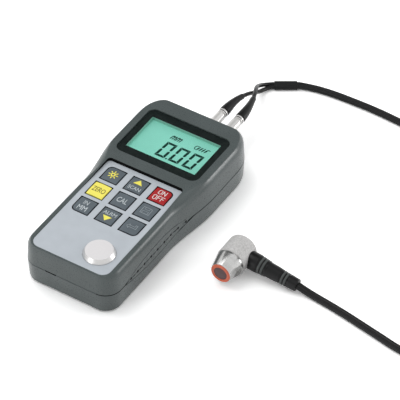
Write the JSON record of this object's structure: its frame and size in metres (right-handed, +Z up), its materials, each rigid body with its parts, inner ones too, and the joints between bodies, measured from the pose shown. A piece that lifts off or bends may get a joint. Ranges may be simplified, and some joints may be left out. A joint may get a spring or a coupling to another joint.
{
  "type": "ultrasonic thickness gauge",
  "caption": "Handheld ultrasonic thickness gauge with backlit display, key field, calibration disc and a right-angle probe on a twin cable.",
  "frame": {"origin": "middle of the gauge's back face, on the surface it lies on", "axes": "+X across the gauge to the right, +Y along it from the foot to the head, +Z up out of its front face"},
  "size_m": [0.2526, 0.2367, 0.0311],
  "materials": {
    "case_grey": "fine textured grey plastic",
    "screw_steel": "zinc-plated steel",
    "clear_window": "clear glossy window",
    "mask_black": "black print under the window",
    "lcd_green": "backlit green display",
    "white_plastic": "white light guide",
    "label_silver": "silver printed film",
    "key_grey": "dark grey print",
    "key_red": "red print",
    "key_yellow": "yellow print",
    "dome_metal": "spring metal",
    "board_green": "solder mask",
    "disc_steel": "ground steel",
    "cell_wrap": "plain cell wrap",
    "plug_metal": "satin plated metal",
    "rubber_black": "soft black rubber",
    "tie_black": "hook and loop strap",
    "probe_satin": "satin housing",
    "probe_polished": "polished nose",
    "ring_orange": "insulating ring",
    "wear_brown": "wear face"
  },
  "bodies": {
    "case": {"front_shell": "case_grey", "rear_shell": "case_grey", "case_screws": "screw_steel", "display_window": "clear_window", "display_mask": "mask_black", "lcd_panel": "lcd_green", "lcd_backlight": "white_plastic", "keypad_panel": "label_silver", "dome_sheet": "dome_metal", "contact_bridge": "dome_metal", "contact_spring": "dome_metal", "contact_button": "dome_metal", "main_board": "board_green", "calibration_disc": "disc_steel", "cell_left": "cell_wrap", "cell_right": "cell_wrap", "socket_left": "plug_metal", "socket_right": "plug_metal", "plug_core_left": "plug_metal", "plug_core_right": "plug_metal", "plug_nut_left": "plug_metal", "plug_nut_right": "plug_metal", "plug_boot_left": "rubber_black", "plug_boot_right": "rubber_black", "lead_left": "rubber_black", "lead_right": "rubber_black", "join_sleeve": "rubber_black", "twin_lead_gauge": "rubber_black", "twin_lead_probe": "rubber_black", "cable_coil": "rubber_black", "probe_boot": "rubber_black", "coil_tie": "tie_black", "probe_housing": "probe_satin", "probe_nose": "probe_polished", "probe_ring": "ring_orange", "probe_face": "wear_brown"},
    "battery_cover": {"battery_cover": "case_grey"},
    "key_backlight": {"key_backlight": "key_grey"},
    "key_up": {"key_up": "key_grey"},
    "key_cal": {"key_cal": "key_grey"},
    "key_save": {"key_save": "key_grey"},
    "key_units": {"key_units": "key_grey"},
    "key_down": {"key_down": "key_grey"},
    "key_enter": {"key_enter": "key_grey"},
    "key_power": {"key_power": "key_red"},
    "key_zero": {"key_zero": "key_yellow"},
    "plug_sleeve_left": {"plug_sleeve_left": "plug_metal"},
    "plug_sleeve_right": {"plug_sleeve_right": "plug_metal"}
  },
  "joints": [
    {"name": "key_backlight_press", "type": "slide", "parent": "case", "child": "key_backlight", "axis": [0, 0, -1], "range_m": [0, 0.0005], "stiffness_N_per_m": 6000},
    {"name": "key_up_press", "type": "slide", "parent": "case", "child": "key_up", "axis": [0, 0, -1], "range_m": [0, 0.0005], "stiffness_N_per_m": 6000},
    {"name": "key_power_press", "type": "slide", "parent": "case", "child": "key_power", "axis": [0, 0, -1], "range_m": [0, 0.0005], "stiffness_N_per_m": 6000},
    {"name": "key_zero_press", "type": "slide", "parent": "case", "child": "key_zero", "axis": [0, 0, -1], "range_m": [0, 0.0005], "stiffness_N_per_m": 6000},
    {"name": "key_cal_press", "type": "slide", "parent": "case", "child": "key_cal", "axis": [0, 0, -1], "range_m": [0, 0.0005], "stiffness_N_per_m": 6000},
    {"name": "key_save_press", "type": "slide", "parent": "case", "child": "key_save", "axis": [0, 0, -1], "range_m": [0, 0.0005], "stiffness_N_per_m": 6000},
    {"name": "key_units_press", "type": "slide", "parent": "case", "child": "key_units", "axis": [0, 0, -1], "range_m": [0, 0.0005], "stiffness_N_per_m": 6000},
    {"name": "key_down_press", "type": "slide", "parent": "case", "child": "key_down", "axis": [0, 0, -1], "range_m": [0, 0.0005], "stiffness_N_per_m": 6000},
    {"name": "key_enter_press", "type": "slide", "parent": "case", "child": "key_enter", "axis": [0, 0, -1], "range_m": [0, 0.0005], "stiffness_N_per_m": 6000},
    {"name": "battery_cover_slide", "type": "slide", "parent": "case", "child": "battery_cover", "axis": [0, -1, 0], "range_m": [0, 0.06]},
    {"name": "plug_sleeve_left_pull", "type": "slide", "parent": "case", "child": "plug_sleeve_left", "axis": [0, 1, 0], "range_m": [0, 0.001], "stiffness_N_per_m": 2000},
    {"name": "plug_sleeve_right_pull", "type": "slide", "parent": "case", "child": "plug_sleeve_right", "axis": [0, 1, 0], "range_m": [0, 0.001], "stiffness_N_per_m": 2000}
  ]
}
